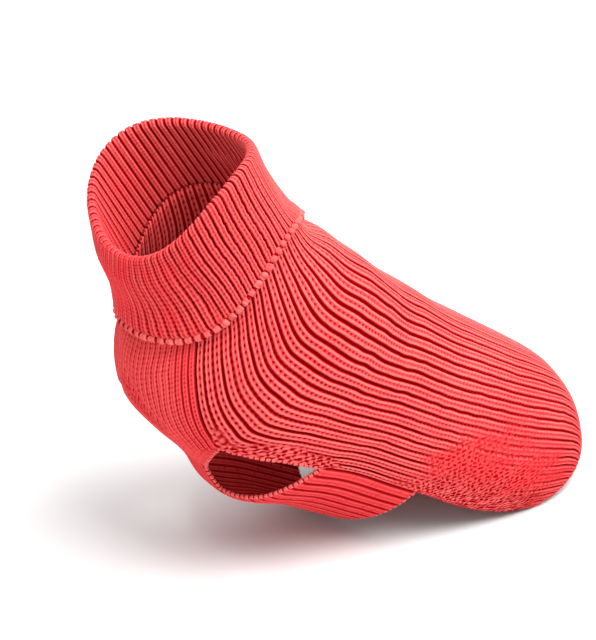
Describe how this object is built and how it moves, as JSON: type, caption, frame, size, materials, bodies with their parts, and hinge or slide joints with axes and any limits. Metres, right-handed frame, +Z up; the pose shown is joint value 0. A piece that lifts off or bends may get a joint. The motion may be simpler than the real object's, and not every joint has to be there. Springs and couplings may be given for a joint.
{
  "type": "dog sweater",
  "caption": "Ribbed knit dog pullover with a folded roll collar, two leg holes and a long rounded back.",
  "frame": {"origin": "inside of the back panel on the spine, at the withers, where the sweater rests on its wearer", "axes": "-X towards the wearer's head, +X towards the tail, -Y to the wearer's left, +Z up; the sweater is mirrored about Y = 0"},
  "size_m": [0.3124, 0.1384, 0.2449],
  "materials": {
    "yarn": "matt coral red knit"
  },
  "bodies": {
    "root": {"collar": "yarn", "back_panel": "yarn", "chest_and_belly_panel": "yarn"}
  },
  "joints": []
}
